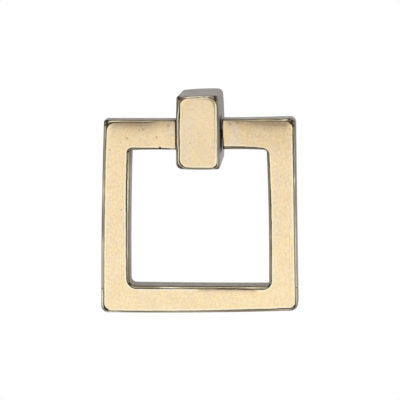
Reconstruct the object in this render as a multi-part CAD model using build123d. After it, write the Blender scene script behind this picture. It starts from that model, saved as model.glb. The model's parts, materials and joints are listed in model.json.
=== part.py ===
from build123d import *
import os

# Square drop pull for a drawer or a cabinet door. A solid cast post is screwed to the drawer face from
# behind, and a square ring hangs from it. The ring is one casting, open at the top: its two arms end beside
# the post, and a straight pin through the post reaches into a blind bore in the end of each arm.
#
# Millimetres, hung as in use. X runs to the right as seen from the room, Y runs from the room into the
# drawer, and Z runs up. The origin is the mouth of the fixing hole, in the middle of the post's back face,
# so the drawer face is the plane Y = 0 and the whole pull stands at negative Y.

# Post
post_width = 12.7
post_height = 22.8
post_projection = 22.2
post_corner_radius = 1.5
post_front_radius = 1.1
post_back_radius = 0.4

# Fixing hole in the post's back, at the tapping size of an M4 thread, and the metal left beyond its end
fixing_hole_radius = 1.65
fixing_hole_end_wall = 2.7

# Pivot: the pin's axis, in front of the drawer face and below the middle of the post
pivot_standoff = 14.2
pivot_drop = 1.2

# Ring
ring_bottom_width = 60.2
ring_top_width = 57.8
ring_height = 59.0
ring_thickness = 7.0
side_bar_width = 8.5
top_bar_width = 9.3
bottom_bar_width = 8.3
ring_outer_corner_radius = 1.6
ring_inner_corner_radius = 1.4
ring_edge_radius = 1.0

# Pin
pin_radius = 1.5
pin_reach = 5.0
pin_chamfer = 0.3

# Clearances
arm_gap = 0.75
pin_running_clearance = 0.05
pin_end_clearance = 0.5

# How far a cutting shape runs past the surface that it opens
cut_overrun = 1.0

# Places that follow from the sizes above
pivot_y = -pivot_standoff
pivot_z = -pivot_drop
ring_top_z = pivot_z + top_bar_width / 2
ring_bottom_z = ring_top_z - ring_height
ring_back_y = pivot_y + ring_thickness / 2
arm_end_x = post_width / 2 + arm_gap
fixing_hole_depth = pivot_standoff - pin_radius - fixing_hole_end_wall


def ring_half_width(z):
    """Half the ring's outer width at the height z: the ring narrows evenly towards its top."""
    share = (ring_top_z - z) / ring_height
    return (ring_top_width + (ring_bottom_width - ring_top_width) * share) / 2


def rod_along_x(radius, start_x, end_x):
    """A round rod on the pivot axis, from start_x to end_x."""
    middle = Pos((start_x + end_x) / 2, pivot_y, pivot_z)
    return middle * Rot(0, 90, 0) * Cylinder(radius, abs(end_x - start_x))


def four_sided_face(top_z, bottom_z, bar_width, corner_radius):
    """A face with the ring's slanting sides, drawn on the ring's back plane and set in by bar_width."""
    top_half = ring_half_width(top_z) - bar_width
    bottom_half = ring_half_width(bottom_z) - bar_width
    corners = [(-bottom_half, bottom_z), (bottom_half, bottom_z), (top_half, top_z), (-top_half, top_z)]
    back_plane = Plane(origin=(0, ring_back_y, 0), x_dir=(1, 0, 0), z_dir=(0, -1, 0))
    face = back_plane * Polygon(*corners, align=None)
    return fillet(face.vertices(), corner_radius)


def make_post():
    """The solid block, rounded all over, with the fixing hole in its back and the pin's hole across it."""
    block = Pos(0, -post_projection / 2, 0) * Box(post_width, post_projection, post_height)
    block = fillet(block.edges().filter_by(Axis.Y), post_corner_radius)
    block = fillet(block.faces().sort_by(Axis.Y)[0].edges(), post_front_radius)
    block = fillet(block.faces().sort_by(Axis.Y)[-1].edges(), post_back_radius)
    drill_middle_y = (cut_overrun - fixing_hole_depth) / 2
    drill = Cylinder(fixing_hole_radius, fixing_hole_depth + cut_overrun)
    pin_hole_end_x = post_width / 2 + cut_overrun
    block = block - Pos(0, drill_middle_y, 0) * Rot(90, 0, 0) * drill
    return block - rod_along_x(pin_radius, -pin_hole_end_x, pin_hole_end_x)


def make_ring():
    """The open ring: a frame cut through at the top, with rounded edges and a bore in each arm's end."""
    outside = four_sided_face(ring_top_z, ring_bottom_z, 0, ring_outer_corner_radius)
    inside = four_sided_face(
        ring_top_z - top_bar_width, ring_bottom_z + bottom_bar_width, side_bar_width, ring_inner_corner_radius
    )
    ring = extrude(outside - inside, amount=ring_thickness)
    mouth = Box(2 * arm_end_x, ring_thickness + 2 * cut_overrun, top_bar_width + 2 * cut_overrun)
    ring = ring - Pos(0, pivot_y, pivot_z) * mouth

    face_edges = ring.faces().filter_by(Axis.Y).edges()
    arm_end_edges = ring.edges().filter_by(Axis.Y).filter_by_position(Axis.X, -arm_end_x, arm_end_x)
    ring = fillet(face_edges + arm_end_edges, ring_edge_radius)

    bore_radius = pin_radius + pin_running_clearance
    bore_end_x = arm_end_x + pin_reach + pin_end_clearance
    for side in (-1, 1):
        ring = ring - rod_along_x(bore_radius, side * (arm_end_x - arm_gap), side * bore_end_x)
    return ring


def make_pivot_pin():
    """The straight pin: pressed through the post, with both ends standing out into the ring's bores."""
    end_x = arm_end_x + pin_reach
    pin = rod_along_x(pin_radius, -end_x, end_x)
    return chamfer(pin.edges().filter_by(GeomType.CIRCLE), pin_chamfer)


os.makedirs("parts", exist_ok=True)
export_step(make_post(), "parts/post.step")
export_step(make_ring(), "parts/ring.step")
export_step(make_pivot_pin(), "parts/pivot_pin.step")
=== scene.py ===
import json
import math

import bmesh
import bpy
import numpy as np
from bpy.props import FloatProperty, FloatVectorProperty, IntProperty, PointerProperty
from mathutils import Matrix, Vector


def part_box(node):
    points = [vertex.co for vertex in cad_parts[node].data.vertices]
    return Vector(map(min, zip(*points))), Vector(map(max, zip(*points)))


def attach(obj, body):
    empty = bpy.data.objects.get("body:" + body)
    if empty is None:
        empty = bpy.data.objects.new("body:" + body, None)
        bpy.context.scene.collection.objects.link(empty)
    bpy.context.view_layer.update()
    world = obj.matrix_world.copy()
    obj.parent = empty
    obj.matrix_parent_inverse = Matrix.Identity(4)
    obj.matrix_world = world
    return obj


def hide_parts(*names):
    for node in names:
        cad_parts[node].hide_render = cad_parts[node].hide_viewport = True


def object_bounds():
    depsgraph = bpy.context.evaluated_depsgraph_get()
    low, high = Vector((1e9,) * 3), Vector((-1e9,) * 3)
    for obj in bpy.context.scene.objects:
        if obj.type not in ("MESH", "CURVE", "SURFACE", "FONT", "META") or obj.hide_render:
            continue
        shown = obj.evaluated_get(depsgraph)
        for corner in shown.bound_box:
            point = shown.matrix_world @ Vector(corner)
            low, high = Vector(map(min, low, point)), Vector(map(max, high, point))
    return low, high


bl_info = {
    "name": "Square Drop Pull",
    "version": (1, 0, 0),
    "blender": (4, 5, 0),
    "location": "3D View > Sidebar > Drop Pull",
    "description": "Adds the finished surfaces of a cast square drop pull around its solid model",
    "category": "Add Mesh",
}

MM = 0.001

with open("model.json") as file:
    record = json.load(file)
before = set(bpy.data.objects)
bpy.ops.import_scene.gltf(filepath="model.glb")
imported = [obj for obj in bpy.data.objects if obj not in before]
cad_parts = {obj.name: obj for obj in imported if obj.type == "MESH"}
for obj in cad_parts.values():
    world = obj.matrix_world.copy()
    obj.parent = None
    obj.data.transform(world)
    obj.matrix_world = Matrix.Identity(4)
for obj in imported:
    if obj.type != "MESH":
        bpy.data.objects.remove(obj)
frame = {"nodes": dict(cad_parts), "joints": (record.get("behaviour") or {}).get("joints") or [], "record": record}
cad_low, cad_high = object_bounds()
post_low, post_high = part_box("post")
ring_low, ring_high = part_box("ring")
pin_low, pin_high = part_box("pivot_pin")
pivot_y, pivot_z = frame["joints"][0]["pos_m"][1:]
fixing_hole = next(m for m in frame["record"]["mounts"] if m["name"] == "fixing_hole")["dims"]

# The corners of the ring's outline in millimetres, across and up, clockwise from the right arm's end. A hand
# finished casting isn't quite square: it leans, narrows towards the top and is rounder at some corners. Each
# side is bowed to its right by its bow, and the opening is a little taller in front than behind by its draft
OUTER_CORNERS = [(7.4, 3.6), (29.1, 4.1), (29.88, -54.5), (-30.04, -55.54), (-28.46, 3.33), (-6.85, 3.33)]
OUTER_RADII = [1.8, 2.4, 2.1, 0.7]
OUTER_BOWS = [0.08, 0.05, -0.31, -0.25, 0.0]
INNER_CORNERS = [(7.6, -5.53), (20.47, -5.65), (21.12, -46.87), (-21.18, -46.92), (-20.41, -5.83),
                 (-6.85, -5.74)]
INNER_RADII = [0.7, 0.5, 1.6, 0.8]
INNER_BOWS = [-0.13, -0.25, -0.1, -0.209, -0.1]
INNER_DRAFT = [0.0, 0.0, -0.2, 0.0, 0.0]
OUTER_BACK_RADII = [1.5, 1.5, 1.5, 1.5]
INNER_BACK_RADII = [2.0, 1.5, 2.0, 2.0]

# The corners of the polished front, inside the outline
OUTER_FACE = [(7.42, 2.7), (28.14, 2.95), (28.93, -53.42), (-28.92, -54.84), (-27.46, 2.45), (-6.85, 2.45)]
OUTER_FACE_RADII = [1.8, 1.0, 2.4, 2.6]
OUTER_FACE_BOWS = [0.06, 0.04, -0.31, -0.2, 0.0]
INNER_FACE = [(7.62, -4.42), (21.37, -4.9), (22.12, -48.16), (-22.25, -48.17), (-21.68, -4.92),
              (-6.85, -5.05)]
INNER_FACE_RADII = [2.4, 2.9, 3.3, 1.6]
INNER_FACE_BOWS = [-0.11, -0.27, 0.09, -0.18, 0.02]

# How strongly the edge shows each of its three lines, how pale it is and how far the lines spread over it, at
# stations along it: the side's number plus the share along the side. Near and far are dark lines, partly oxide
# and partly painted dark reflection, and over 1 they are wider. The middle line is a painted highlight, and at
# 1 it is as bright as the polished front's rim. Paleness is painted light. Between stations the values run
# straight, and beyond the first and the last they are held
OUTER_LINES = {
    "near": [(0.0, 0.2), (0.17, 0.6), (0.3, 0.4), (0.5, 0.5), (0.6, 0.2), (0.72, 0.6), (0.88, 0.7),
             (1.0, 1.2), (1.1, 1.3), (1.16, 0.8), (1.23, 1.1), (1.3, 0.3), (1.5, 0.3), (1.58, 0.7),
             (1.75, 0.5), (1.8, 0.6), (1.93, 0.4), (2.02, 1.4), (2.15, 0.7), (2.25, 1.1), (2.37, 0.5),
             (2.44, 0.7), (2.5, 0.3), (2.65, 0.2), (2.71, 0.5), (2.78, 0.3), (2.85, 0.8), (2.97, 1.2),
             (3.05, 0.8), (3.1, 0.7), (3.2, 0.4), (3.4, 0.1), (3.6, 0.5), (3.7, 0.2), (3.85, 0.1),
             (3.92, 0.8), (4.05, 1.3), (4.17, 0.8), (4.28, 1.0), (4.4, 1.3), (4.55, 0.9), (4.65, 0.4),
             (4.75, 0.0)],
    "edge_highlight": [(0.3, 0.0), (0.45, 0.2), (0.6, 0.5), (0.75, 0.2), (0.85, 0.3), (0.92, 0.8), (0.97, 1.2),
             (1.0, 0.2), (1.15, 0.5), (1.25, 0.4), (1.3, 0.9), (1.4, 0.4), (1.5, 0.7), (1.58, 0.9),
             (1.75, 0.8), (2.06, 0.8), (2.15, 0.3), (2.9, 0.3), (2.98, 1.2), (3.1, 0.7), (3.25, 0.6),
             (3.35, 0.9), (3.43, 0.2), (3.55, 0.5), (3.65, 0.7), (3.75, 0.4), (3.85, 0.2), (3.95, 0.8),
             (4.05, 0.9), (4.15, 0.7), (4.3, 0.3), (4.5, 0.6), (4.6, 0.6), (4.7, 0.0)],
    "far": [(0.2, 1.3), (0.35, 0.9), (0.5, 1.1), (0.6, 0.5), (0.85, 1.0), (0.95, 0.4), (1.02, 0.7),
            (1.1, 0.3), (1.4, 0.2), (1.5, 0.0), (3.38, 0.0), (3.44, 0.9), (3.52, 0.6), (3.6, 0.1),
            (3.72, 0.1), (3.8, 0.35), (3.88, 0.4), (3.95, 1.3), (4.07, 1.4), (4.15, 0.5), (4.3, 0.6),
            (4.5, 1.1), (4.6, 0.7), (4.75, 1.1), (4.85, 0.7), (5.0, 1.1)],
    "pale": [(1.5, 0.3), (1.6, 0.5), (2.03, 0.6), (2.2, 0.3), (2.3, 0.3), (2.4, 0.6), (2.65, 0.7),
             (2.8, 0.4), (2.93, 0.5), (3.05, 0.75), (3.3, 0.7), (3.42, 0.0), (3.53, 0.4), (3.63, 0.85),
             (3.7, 0.5), (3.8, 0.2), (3.9, 0.0)],
    "spread": [(0.7, 1.0), (0.85, 0.75), (0.95, 0.75), (1.05, 1.0)],
}
INNER_LINES = {
    "near": [(0.0, 0.4), (0.15, 0.6), (0.25, 1.4), (0.5, 1.5), (0.7, 0.8), (0.85, 1.1), (1.1, 0.9),
             (1.19, 0.4), (1.28, 0.9), (1.37, 1.8), (1.46, 0.9), (1.56, 1.2), (1.64, 0.4), (1.73, 1.0),
             (1.82, 0.5), (1.93, 0.3), (2.0, 0.9), (2.05, 0.8), (2.1, 1.0), (2.2, 1.3), (2.35, 1.2),
             (2.45, 0.8), (2.55, 0.9), (2.7, 0.8), (2.8, 1.1), (2.9, 1.0), (3.05, 0.9), (3.25, 0.8),
             (3.45, 1.0), (3.55, 1.5), (3.75, 1.6), (3.9, 1.4), (4.0, 0.8), (4.1, 0.7), (4.25, 1.1),
             (4.6, 1.3), (4.8, 0.9), (4.9, 0.0)],
    "edge_highlight": [(0.0, 0.2), (0.2, 0.0), (1.0, 0.0), (1.58, 0.1), (1.64, 0.6), (1.7, 0.1), (2.0, 0.5),
             (2.1, 0.9), (2.2, 0.6), (2.35, 0.6), (2.6, 0.7), (2.72, 1.0), (2.8, 0.9), (2.87, 0.1),
             (3.0, 0.1), (3.1, 0.4), (3.2, 0.8), (3.3, 0.7), (3.5, 0.8), (3.65, 1.0), (3.75, 1.0),
             (3.85, 0.7), (3.97, 0.6), (4.1, 0.0), (4.83, 0.0), (4.9, 1.2)],
    "far": [(0.9, 0.3), (1.1, 0.0), (1.95, 0.0), (2.05, 0.9), (2.2, 1.3), (2.35, 1.6), (2.55, 1.6),
            (2.7, 1.1), (2.95, 1.1), (3.1, 0.5), (3.3, 0.6), (3.45, 0.4), (3.6, 0.5), (3.72, 0.4),
            (3.85, 0.1)],
    "pale": [(3.1, 0.0), (3.2, 0.2), (3.7, 0.4), (3.85, 0.7), (4.0, 0.4), (4.1, 0.0)],
    "spread": [(1.95, 1.0), (2.03, 1.25), (2.45, 1.3), (2.6, 1.0)],
}

# The post's outline in front and behind, and its polished front, clockwise from the upper left corner
POST_FRONT = [(-6.15, 10.75), (6.3, 11.28), (6.75, -11.03), (-6.42, -11.03)]
POST_RADII = [0.6, 1.0, 0.8, 1.8]
POST_BOWS = [0.0, 0.0, -0.12, -0.09]
POST_BACK = [(-6.5, 10.78), (6.33, 11.3), (6.55, -11.2), (-6.5, -11.2)]
POST_BACK_RADII = [1.2, 1.6, 2.1, 2.0]
POST_BACK_BOWS = [-0.2, -0.25, 0.0, 0.0]
POST_FACE = [(-4.9, 10.08), (5.92, 10.36), (5.88, -10.38), (-5.13, -10.38)]
POST_FACE_RADII = [2.4, 2.9, 1.9, 2.4]
POST_FACE_BOWS = [-0.12, 0.0, 0.0, 0.0]
POST_LINES = {
    "near": [(0.0, 1.2), (0.1, 0.9), (0.2, 1.2), (0.35, 1.1), (0.47, 1.5), (0.58, 0.6), (0.75, 0.2),
             (0.85, 0.9), (1.0, 1.4), (1.2, 1.7), (1.4, 1.3), (1.75, 1.3), (2.0, 1.1), (2.08, 0.8),
             (2.15, 0.4), (2.45, 0.3), (2.7, 0.6), (2.88, 0.9), (2.97, 1.5), (3.15, 1.6), (3.25, 0.9),
             (3.35, 0.5), (3.65, 0.5), (3.8, 1.6)],
    "edge_highlight": [(0.0, 0.4), (0.1, 1.0), (0.35, 1.2), (0.5, 1.0), (0.6, 1.2), (0.75, 0.7), (0.88, 1.2),
             (0.94, 0.9), (1.0, 0.1), (1.2, 0.2), (1.3, 0.6), (1.36, 0.6), (1.5, 0.7), (1.75, 0.75),
             (1.87, 0.9), (1.98, 1.0), (2.04, 0.9), (2.1, 0.3), (2.9, 0.3), (2.97, 0.9), (3.05, 1.1),
             (3.15, 1.2), (3.22, 1.0), (3.25, 0.8), (3.65, 0.8), (3.78, 0.9), (3.9, 0.9), (4.0, 0.5)],
    "far": [(0.0, 0.7), (0.1, 0.6), (0.2, 0.9), (0.4, 0.7), (0.6, 0.3), (0.9, 0.3), (1.0, 0.9), (1.2, 1.2),
            (1.32, 1.0), (1.4, 0.4), (1.7, 0.4), (1.78, 1.0), (1.9, 1.3), (2.0, 1.1), (2.1, 0.3),
            (2.9, 0.3), (2.97, 1.2), (3.15, 1.2), (3.25, 1.8), (3.35, 2.3), (3.65, 2.3), (3.78, 1.6),
            (3.86, 1.5), (4.0, 1.3)],
    "pale": [(1.0, 0.0), (3.1, 0.3), (3.3, 0.45), (3.7, 0.45), (3.82, 0.2), (4.0, 0.0)],
    "spread": [(0.1, 0.72), (0.2, 1.0), (0.58, 1.0), (0.7, 0.72), (0.9, 0.72), (1.1, 0.8), (1.9, 0.8),
               (2.1, 0.72), (3.2, 0.72), (3.3, 1.15), (3.7, 1.15), (3.85, 0.8), (4.0, 0.72)],
}

# Casting pits on the fronts, across and up, with their radius, in millimetres
RING_PITS = [(-21.44, -2.22, 0.26), (-12.54, -1.84, 0.25), (-23.41, -23.95, 0.22), (-26.62, -5.75, 0.2),
             (-17.74, 0.26, 0.14), (-23.36, -3.2, 0.14), (-11.16, -47.9, 0.2)]
POST_PITS = [(-2.1, -3.2, 0.13)]

# Where dark oxide has filled an edge or a corner, in the same way
RING_SPOTS = [(-27.3, 1.85, 0.42), (-27.6, 2.6, 0.38), (-27.1, 3.0, 0.3), (-28.0, 1.75, 0.25),
              (27.25, 3.55, 0.3), (27.6, 2.65, 0.32), (28.1, 2.95, 0.42), (28.1, 2.25, 0.3),
              (28.45, 1.65, 0.35), (-28.45, -54.4, 0.4), (-28.0, -54.6, 0.35), (-28.85, -54.1, 0.3),
              (-28.9, -53.5, 0.25), (28.6, -53.15, 0.36), (28.0, -53.5, 0.25), (28.85, -52.8, 0.25),
              (29.4, -47.3, 0.2), (20.95, -47.0, 0.35), (21.3, -46.6, 0.3), (-21.4, -46.4, 0.3),
              (-21.0, -46.8, 0.25), (-21.19, -6.25, 0.35), (-11.5, -5.1, 0.35), (-29.5, -48.1, 0.2)]
POST_SPOTS = [(-5.16, 10.07, 0.35), (-5.5, 10.55, 0.35), (-4.45, 10.3, 0.22), (5.4, 10.75, 0.35),
              (5.45, 10.2, 0.35), (5.65, 9.7, 0.3), (-5.5, -9.9, 0.28), (-4.75, -10.4, 0.25),
              (5.3, -10.3, 0.28), (5.75, -9.9, 0.22)]

# How strong the tarnish below the arms' upper edges is, across the ring, and darker smudges in it
ARM_STAIN = [(-27.2, 0.0), (-25.7, 0.7), (-21.0, 0.9), (-17.5, 0.95), (-14.5, 0.8), (-12.0, 0.65),
             (-8.0, 0.5), (7.6, 0.2), (9.0, 0.4), (11.5, 0.55), (15.5, 0.6), (22.5, 1.0), (26.0, 1.0),
             (27.9, 0.2)]
SMUDGES = [(8.97, 3.1, 0.4), (9.6, 2.2, 0.4), (10.53, 3.19, 0.35), (11.81, 2.8, 0.45), (13.2, 3.0, 0.3),
           (16.03, 3.14, 0.4), (17.35, 2.6, 0.4), (19.4, 2.9, 0.3), (-16.59, 0.42, 0.35),
           (-8.93, 1.67, 0.4)]

# A shallow groove that follows the post's front inside its upper and right edges: across, up and how strong,
# where over 1 is wider, and its width
POST_GROOVE = [(-3.0, 9.9, 0.1), (0.4, 10.0, 0.4), (3.5, 9.97, 0.8), (4.3, 9.8, 1.5), (4.8, 9.4, 1.8),
               (5.03, 8.9, 1.8), (5.2, 8.2, 1.4), (5.32, 7.3, 1.0), (5.34, 5.35, 0.8), (5.35, 0.9, 0.7),
               (5.36, -2.1, 0.6), (5.42, -4.8, 0.3), (5.5, -7.0, 0.0)]
GROOVE_WIDTH = 0.2

# Widths, reaches and depths of the marks on the ring, in millimetres. A pair says where something starts and
# where it is full, across or up
ARM_RISE_REACH = (17.0, 11.0)
ARM_STAIN_DEPTH = 1.6
STREAK_START = (-2.0, 1.0)
STREAK_END = (18.5, 16.5)
STREAK_BELOW = -40.0
STREAK_WIDTH = 0.5
# Where the painted shade that darkens the right arm towards its end starts and is full, across and up
RIGHT_ARM_SHADE_ACROSS = (4.0, 16.0)
RIGHT_ARM_SHADE_UP = (-9.0, -3.0)
LOWER_TARNISH_UP = (-48.0, -33.0)
UPPER_TARNISH_UP = (-40.0, 0.0)
SIDE_BARS_FROM = (19.0, 22.0)
OUTER_CORNER_SPREAD = 1.3
INNER_CORNER_SPREAD = 0.8
RING_PIT_DEPTH = 0.12
RING_RIPPLE_LENGTH = 9.0

# Where the front is warmer and then cooler in from its edge, and a warm patch: each one's middle and width
RING_GLOW = [(0.4, 0.35), (1.2, 0.5)]
WARM_PATCH = (14.5, 1.0)
WARM_PATCH_ABOVE = -5.0

# How far from the middle the painted shade over the arms' ends, beside the post, reaches: on the right by
# height, and on the left
RIGHT_ARM_END = [(-5.2, 7.95), (-3.0, 7.7), (0.0, 7.54), (3.0, 7.54), (3.8, 7.8)]
LEFT_ARM_END = 7.02
ARM_END_FADE = 0.2
ARMS_ABOVE = -20.0

# Faint grey bands across the arms: the middle, the half width, how square they are and how strong
BLOOMS = [(11.1, 1.3, 4, 1.0), (-8.9, 1.0, 2, 0.7)]
BLOOM_TOP = (2.6, 1.1)
BLOOM_BOTTOM = (-4.5, -3.0)

# The same for the marks on the post and for its glow, and the painted shade on the post's sides beside each
# arm's end
POST_CORNER_SPREAD = 1.0
POST_DENT_DEPTH = 0.08
POST_RIPPLE_LENGTH = 7.0
POST_GLOW = [(1.0, 0.7), (2.0, 0.5)]
POST_GLOW_LEFT_OF = -1.0
POST_GLOW_HALF_HEIGHT = 9.0
POST_STAIN_UP = (2.0, 11.0)
POST_STAIN_ACROSS = (5.6, 5.1)
PALE_SIDES_DOWN = (-4.5, -7.5)
POST_SIDES_FROM = 5.5
SHELTER_HALF_DEPTH = 2.6
SHELTER_HALF_HEIGHT = 4.0
SHELTER_FADE = 3.6

# How strong each mark is, where 1 is full
CORNER_OXIDE = 0.6
STREAK = 0.8
SMUDGE = 0.5
# Painted shade towards the right arm's end
RIGHT_ARM_SHADE = 0.12
LOWER_TARNISH = 0.04
UPPER_TARNISH = 0.09
WARM_PATCH_GLOW = 0.8
COOL_GLOW = 0.8
POST_STAIN = 0.17
POST_TOP_STAIN = 0.08
# Painted shade on the post's sides beside the arms' ends
SHELTER_SHADE = 0.62

# The ends of some marks in travel, which is 0 at the polished front's edge, 1 where a side starts, 2 where it
# ends and 3 on the back, and runs below 0 over the front, in millimetres from its edge
FRONT_END = 0.05
RING_PITS_END = 0.3
POST_PITS_END = 0.1
BLOOM_END = 0.1
SPOTS_END = 1.1
POST_LINES_END = 1.2
MIDDLE_OF_EDGE = 0.5

# The stretches of a section: from which line to which, the shape, the steps, and the travel at both ends
RING_SECTION = [
    (0, 1, "onto face", 9, 1.0, 0.0), (1, 2, "flat", 24, 0.0, 0.0), (2, 3, "onto side", 9, 0.0, 1.0),
    (3, 4, "flat", 8, 1.0, 2.0), (4, 5, "onto face", 6, 2.0, 3.0), (5, 6, "flat", 20, 3.0, 3.0),
    (6, 7, "onto side", 6, 3.0, 2.0), (7, 0, "flat", 8, 2.0, 1.0)]
RING_OUTER_LINES = [0, 1, 6, 7]
POST_SECTION = [
    (0, 1, "flat", 26, 0.0, 0.0), (1, 2, "onto side", 10, 0.0, 1.0), (2, 3, "flat", 60, 1.0, 2.0),
    (3, 4, "onto face", 5, 2.0, 3.0), (4, 5, "flat", 22, 3.0, 3.0)]

# How finely the surfaces are divided
SURFACE_STEP = 0.33 * MM
ARC_STEPS = 8
POST_SIDE_POINTS = [22, 80, 44, 80, 22]
ARM_END_POINTS = 6
ARM_FLAT_POINTS = 9
BORE_POINTS = 11
GROOVE_SAMPLES = 12
THREAD_STEPS = 8
MERGE_DISTANCE = 1e-7

# The lines across a worn edge: the centre and the half width of each, in travel. The middle one is a painted
# highlight, and the other two are dark lines, partly oxide and partly painted dark reflection
NEAR_BAND = (0.12, 0.21)
HIGHLIGHT_BAND = (0.36, 0.22)
FAR_BAND = (0.62, 0.22)
WHITE = (1.0, 1.0, 1.0, 1.0)


def length(name, description, default, low=0.0):
    """A size that a user can change, in metres."""
    return FloatProperty(name=name, description=description, default=default, min=low, unit="LENGTH")


def angle(name, description, degrees):
    """An angle that a user can change."""
    return FloatProperty(
        name=name, description=description, default=math.radians(degrees), subtype="ANGLE")


def colour(name, description, default):
    """A colour that a user can change."""
    return FloatVectorProperty(
        name=name, description=description, default=default, size=3, min=0.0, max=1.0, subtype="COLOR")


class PostSizes(bpy.types.PropertyGroup):
    """Sizes of the post's finished surface that the solid model's box doesn't give."""

    front_radius: length("Front Edges", "Depth of the rounding round the polished front", 1.1 * MM, 0.1 * MM)
    back_radius: length("Back Edges", "Rounding round the face that meets the drawer", 0.4 * MM, 0.05 * MM)
    thread_pitch: length("Thread Pitch", "Step of the fixing hole's thread", 0.7 * MM, 0.2 * MM)
    thread_depth: length("Thread Depth", "How far the thread's groove goes into its hole's wall", 0.38 * MM)
    drill_point: length("Drill Point", "Depth of the cone that the drill left at the hole's end", 0.8 * MM)
    waviness: length("Waviness", "Height of the slow ripples that hand finishing leaves", 0.03 * MM)


class RingSizes(bpy.types.PropertyGroup):
    """Sizes of the ring's finished surface that the solid model's box doesn't give."""

    edge_radius: length("Front Edges", "Depth of the rounding round the polished front", 1.0 * MM, 0.1 * MM)
    back_radius: length("Back Edges", "Rounding of the long edges behind", 0.9 * MM, 0.1 * MM)
    arm_end_radius: length("Arm Ends", "Rounding of each arm's end, beside the post", 0.3 * MM, 0.05 * MM)
    arm_rise: length("Arm Rise", "How far the front rises to the upper edge near the post", 0.35 * MM)
    bore_clearance: length("Bore Clearance", "Space round the pivot pin in each arm's bore", 0.05 * MM)
    bore_end_gap: length("Bore End Gap", "Space between the pin's end and its bore's end", 0.5 * MM)
    waviness: length("Waviness", "Height of the slow ripples that hand finishing leaves", 0.03 * MM)


class FinishColours(bpy.types.PropertyGroup):
    """Colours of the worn two-tone finish."""

    polished: colour("Polished", "Pale gold of the belt-polished fronts", (1.0, 0.813, 0.508))
    rim: colour("Rim", "Brighter metal just inside a polished front's edge", (1.0, 0.94, 0.74))
    # Also the colour of the painted shade towards the right arm's end
    stain_and_shade: colour("Stain", "Brown tarnish that the polishing left below the upper edges", (0.40, 0.30, 0.19))
    edge: colour("Edge", "Brown-grey of the rounded edges", (0.31, 0.262, 0.175))
    # Also the colour of the painted shade beside and inside the arms' ends, and of the dark edge lines, which are
    # partly painted reflection
    oxide: colour("Oxide", "Dark brown oxide left along the edges and in the pits", (0.030, 0.021, 0.010))
    # A painted highlight along a rounded edge's middle, with its glints
    edge_highlight: colour("Edge Highlight", "Metal rubbed bright along a rounded edge's middle", (0.62, 0.50, 0.35))
    patina: colour("Patina", "Grey-brown patina of the sides", (0.27, 0.245, 0.225))
    # A lighter patina painted where the sides take light from the floor: low on the post's sides, and on some of
    # the ring's sides
    patina_painted_lighter: colour("Patina Painted Lighter", "Thinner patina low on the post's sides", (0.42, 0.395, 0.375))
    back_patina: colour("Back Patina", "Darker patina of the faces turned to the drawer", (0.15, 0.125, 0.10))
    bloom: colour("Bloom", "Greyer metal in faint bands across the arms", (0.90, 0.80, 0.66))
    steel: colour("Pin Steel", "Oxide-brown steel of the pivot pin", (0.035, 0.025, 0.014))


class StudioSettings(bpy.types.PropertyGroup):
    """The floor, the lamp and the camera."""

    azimuth: angle("Azimuth", "How far the camera stands to the right of straight ahead", 4.7)
    elevation: angle("Elevation", "How far the camera looks down", 8.0)
    roll: angle("Roll", "Turn of the camera about its own axis", -0.36)
    distance: length("Distance", "From the middle of the pull to the camera", 0.7, 0.1)
    aim_left: FloatProperty(
        name="Aim Left", description="How far left of the pull's middle the camera points",
        default=0.12 * MM, unit="LENGTH")
    aim_up: FloatProperty(
        name="Aim Up", description="How far above the pull's middle the camera points",
        default=0.36 * MM, unit="LENGTH")
    lens: FloatProperty(
        name="Lens", description="Focal length that frames the pull as the photograph does",
        default=207.6, min=20.0, unit="CAMERA")
    floor_drop: length("Floor Drop", "Height of the pull's middle above the floor", 0.65, 0.1)
    floor_size: length("Floor Size", "Side of the square floor", 6.0, 0.5)
    key_power: FloatProperty(
        name="Key Power", description="Power of the large soft lamp above the camera, in watts",
        default=4.0, min=0.0)
    key_size: length("Key Size", "Side of the square lamp", 0.6, 0.01)
    key_place: FloatVectorProperty(
        name="Key Place", description="From the middle of the pull to the lamp",
        default=(0.35, -0.8, 0.9), size=3, subtype="TRANSLATION")
    seed: IntProperty(
        name="Seed", description="Start of the random numbers for the ripples", default=7, min=0)


def ramp(values, start, end):
    """A soft step from 0 at start to 1 at end: three times the square less twice the cube of the share."""
    share = np.clip((values - start) / (end - start), 0.0, 1.0)
    return share * share * (3.0 - 2.0 * share)


def hump(values, middle, width, power=2):
    """1 at the middle, falling as exp(-(distance over width) to the power) on both sides."""
    return np.exp(-((values - middle) / width) ** power)


def ripple(points, wavelength, rng, waves=14):
    """Soft unevenness about 0: plane waves of like length, each in its own random direction, added up and
    divided by the square root of their number."""
    directions = rng.normal(size=(waves, 3))
    directions /= np.linalg.norm(directions, axis=1, keepdims=True)
    lengths = wavelength * rng.uniform(0.7, 1.5, waves)
    phases = rng.uniform(0.0, 2.0 * np.pi, waves)
    angles = points @ (directions * (2.0 * np.pi / lengths)[:, None]).T + phases
    return np.sin(angles).sum(axis=-1) / math.sqrt(waves)


def rights_of(corners):
    """For each stretch between corners, the unit direction to its right."""
    along = np.diff(corners, axis=0)
    along /= np.linalg.norm(along, axis=1, keepdims=True)
    return np.stack([along[:, 1], -along[:, 0]], axis=1)


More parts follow.
